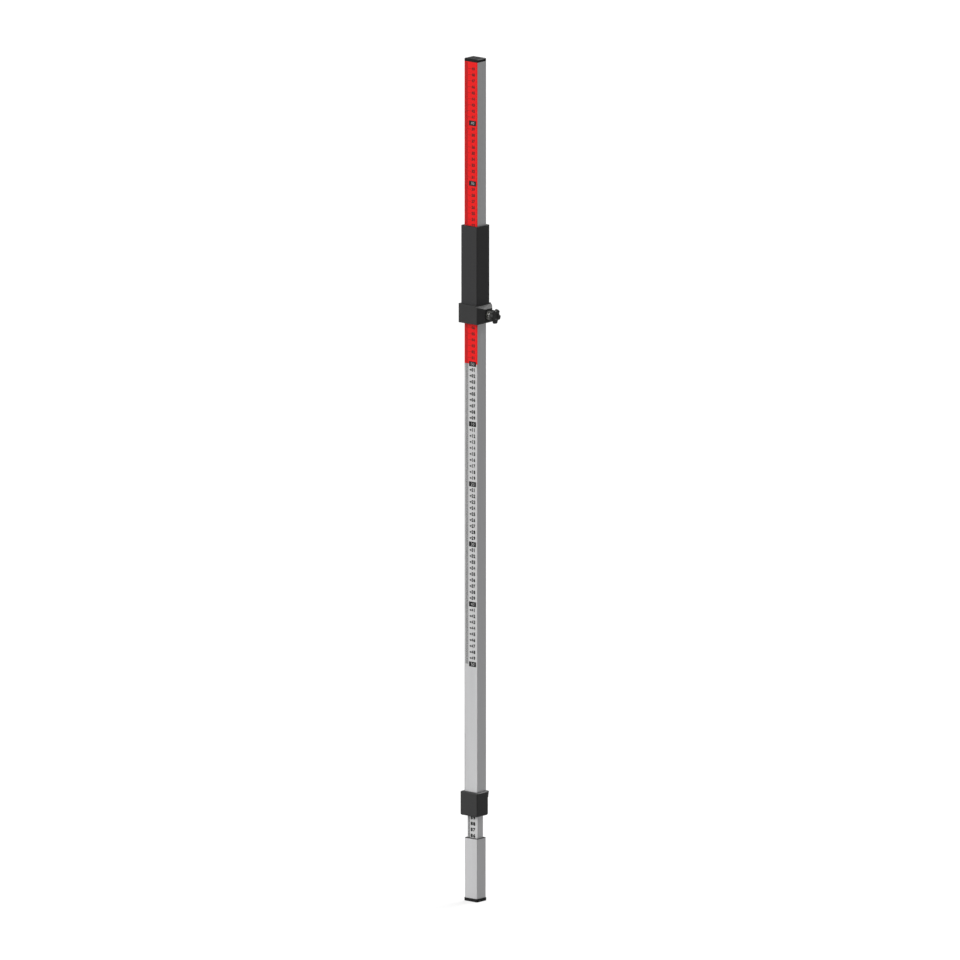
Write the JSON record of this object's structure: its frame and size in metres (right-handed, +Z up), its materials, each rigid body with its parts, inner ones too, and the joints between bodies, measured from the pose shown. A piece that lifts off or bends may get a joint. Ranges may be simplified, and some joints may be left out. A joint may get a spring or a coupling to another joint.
{
  "type": "leveling staff",
  "caption": "Telescopic aluminium leveling staff with a red and white plus-minus scale, a cam-lever tube clamp and a sliding receiver carriage locked by a star knob.",
  "frame": {"origin": "centre of the foot's underside, on the ground", "axes": "+Z up along the staff, -Y towards the reader of the scale, +X towards the clamp knob of the carriage"},
  "size_m": [0.0649, 0.0401, 1.403],
  "materials": {
    "aluminium": "satin anodised extrusion, natural silver",
    "black_sleeve": "satin black anodised aluminium extrusion",
    "black_moulding": "fine-textured black glass-filled nylon moulding",
    "cap_plastic": "smooth black polyethylene moulding",
    "red_tape": "printed polyester scale tape, red ground",
    "white_tape": "printed polyester scale tape, white ground",
    "guide_plastic": "natural acetal, machined",
    "shoe_rubber": "hard polyurethane rubber",
    "steel": "bright zinc-plated steel",
    "dark_steel": "turned steel with a dull dark plating"
  },
  "bodies": {
    "lower_staff": {"foot_cap": "cap_plastic", "foot_sleeve": "aluminium", "foot_bush": "cap_plastic", "foot_rivets": "aluminium", "inner_tube": "aluminium", "inner_scale": "white_tape", "stop_collar": "guide_plastic", "top_guide": "guide_plastic", "guide_pins": "steel"},
    "outer_staff": {"outer_tube": "aluminium", "top_cap": "cap_plastic", "plus_scale": "red_tape", "minus_scale": "white_tape", "clamp_housing": "black_moulding", "throat_bush": "guide_plastic", "housing_screws": "steel", "lever_pin": "steel"},
    "lever": {"clamp_lever": "black_moulding"},
    "brake_shoe": {"clamp_shoe": "shoe_rubber"},
    "carriage": {"carriage_sleeve": "black_sleeve", "carriage_collar": "black_moulding", "upper_liner": "guide_plastic", "lower_liner": "guide_plastic", "carriage_screws": "steel", "threaded_insert": "dark_steel"},
    "clamp_pad": {"pressure_pad": "shoe_rubber"},
    "clamp_knob": {"clamp_screw": "steel", "star_knob": "black_moulding"}
  },
  "joints": [
    {"name": "staff_slide", "type": "slide", "parent": "lower_staff", "child": "outer_staff", "axis": [0, 0, 1], "range_m": [-0.037, 1]},
    {"name": "carriage_slide", "type": "slide", "parent": "outer_staff", "child": "carriage", "axis": [0, 0, 1], "range_m": [-0.78, 0.27]},
    {"name": "lever_hinge", "type": "hinge", "parent": "outer_staff", "child": "lever", "pos_m": [0, 0.0171, 0.15175], "axis": [-1, 0, 0], "range_deg": [0, 110]},
    {"name": "shoe_slide", "type": "slide", "parent": "outer_staff", "child": "brake_shoe", "axis": [0, 1, 0], "range_m": [0, 0.001]},
    {"name": "pad_slide", "type": "slide", "parent": "carriage", "child": "clamp_pad", "axis": [1, 0, 0], "range_m": [0, 0.0016]},
    {"name": "knob_turn", "type": "hinge", "parent": "clamp_pad", "child": "clamp_knob", "pos_m": [0, 0, 0.9791], "axis": [1, 0, 0], "range_deg": [0, 540]}
  ],
  "couplings": [
    {"joint": "shoe_slide", "follows": "lever_hinge", "m_per_rad": 0.0005},
    {"joint": "pad_slide", "follows": "knob_turn", "m_per_rad": 0.00015915}
  ]
}
